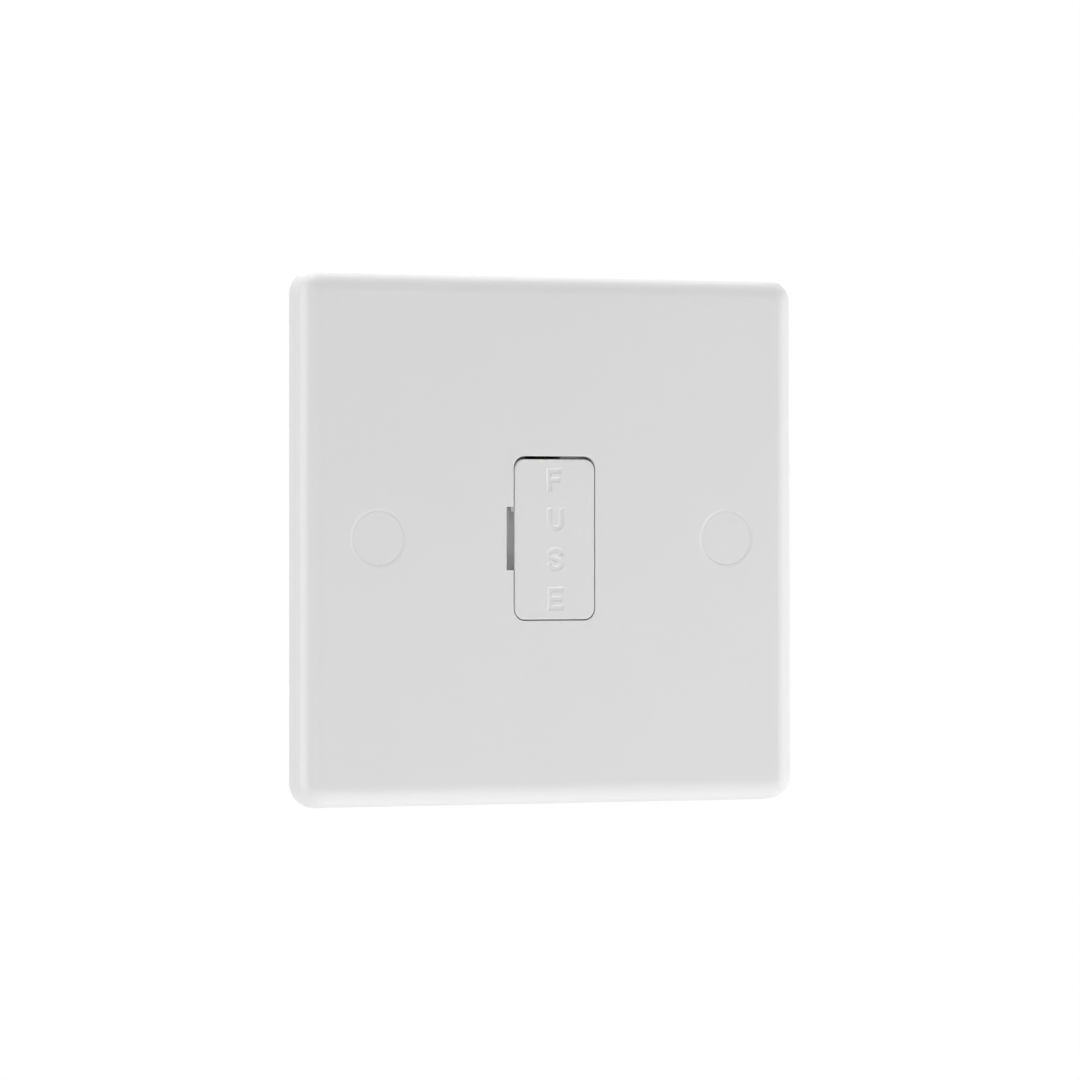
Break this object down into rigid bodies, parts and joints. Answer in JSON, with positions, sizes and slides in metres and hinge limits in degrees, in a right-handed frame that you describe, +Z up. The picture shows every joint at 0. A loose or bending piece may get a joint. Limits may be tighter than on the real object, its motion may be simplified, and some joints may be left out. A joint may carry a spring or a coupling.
{
  "type": "fused spur unit",
  "caption": "Square white plastic wall plate with a pull-out fuse carrier, screw covers and a rear terminal housing; feeds a fixed appliance through a cartridge fuse.",
  "frame": {"origin": "middle of the wall plane, midway between the two fixing holes", "axes": "+X to the right seen from the front, +Y into the wall, +Z up"},
  "size_m": [0.086, 0.0261, 0.086],
  "materials": {
    "white_plastic": "satin",
    "housing_plastic": "matte",
    "terminal_brass": "satin",
    "strip_brass": "satin",
    "plated_steel": "satin",
    "plated_cap": "bright",
    "ceramic": "matte"
  },
  "bodies": {
    "unit": {"front_plate": "white_plastic", "rear_housing": "housing_plastic", "load_fuse_clip": "strip_brass", "supply_fuse_clip": "strip_brass", "neutral_link": "strip_brass", "earth_link": "strip_brass", "housing_screws": "plated_steel", "load_earth_terminal": "terminal_brass", "load_line_terminal": "terminal_brass", "load_neutral_terminal": "terminal_brass", "supply_earth_terminal": "terminal_brass", "supply_line_terminal": "terminal_brass", "supply_neutral_terminal": "terminal_brass"},
    "fuse_carrier": {"fuse_carrier": "white_plastic", "fuse_tube": "ceramic", "upper_fuse_cap": "plated_cap", "lower_fuse_cap": "plated_cap"},
    "left_cover": {"screw_cover_left": "white_plastic"},
    "right_cover": {"screw_cover_right": "white_plastic"},
    "load_earth_screw": {"load_earth_screw": "plated_steel"},
    "load_line_screw": {"load_line_screw": "plated_steel"},
    "load_neutral_screw": {"load_neutral_screw": "plated_steel"},
    "supply_earth_screw": {"supply_earth_screw": "plated_steel"},
    "supply_line_screw": {"supply_line_screw": "plated_steel"},
    "supply_neutral_screw": {"supply_neutral_screw": "plated_steel"}
  },
  "joints": [
    {"name": "fuse_carrier_slide", "type": "slide", "parent": "unit", "child": "fuse_carrier", "axis": [0, -1, 0], "range_m": [0, 0.025]},
    {"name": "left_cover_slide", "type": "slide", "parent": "unit", "child": "left_cover", "axis": [0, -1, 0], "range_m": [0, 0.01]},
    {"name": "right_cover_slide", "type": "slide", "parent": "unit", "child": "right_cover", "axis": [0, -1, 0], "range_m": [0, 0.01]},
    {"name": "load_earth_clamp", "type": "slide", "parent": "unit", "child": "load_earth_screw", "axis": [0, -1, 0], "range_m": [0, 0.0032]},
    {"name": "load_line_clamp", "type": "slide", "parent": "unit", "child": "load_line_screw", "axis": [0, -1, 0], "range_m": [0, 0.0032]},
    {"name": "load_neutral_clamp", "type": "slide", "parent": "unit", "child": "load_neutral_screw", "axis": [0, -1, 0], "range_m": [0, 0.0032]},
    {"name": "supply_earth_clamp", "type": "slide", "parent": "unit", "child": "supply_earth_screw", "axis": [0, -1, 0], "range_m": [0, 0.0032]},
    {"name": "supply_line_clamp", "type": "slide", "parent": "unit", "child": "supply_line_screw", "axis": [0, -1, 0], "range_m": [0, 0.0032]},
    {"name": "supply_neutral_clamp", "type": "slide", "parent": "unit", "child": "supply_neutral_screw", "axis": [0, -1, 0], "range_m": [0, 0.0032]}
  ]
}
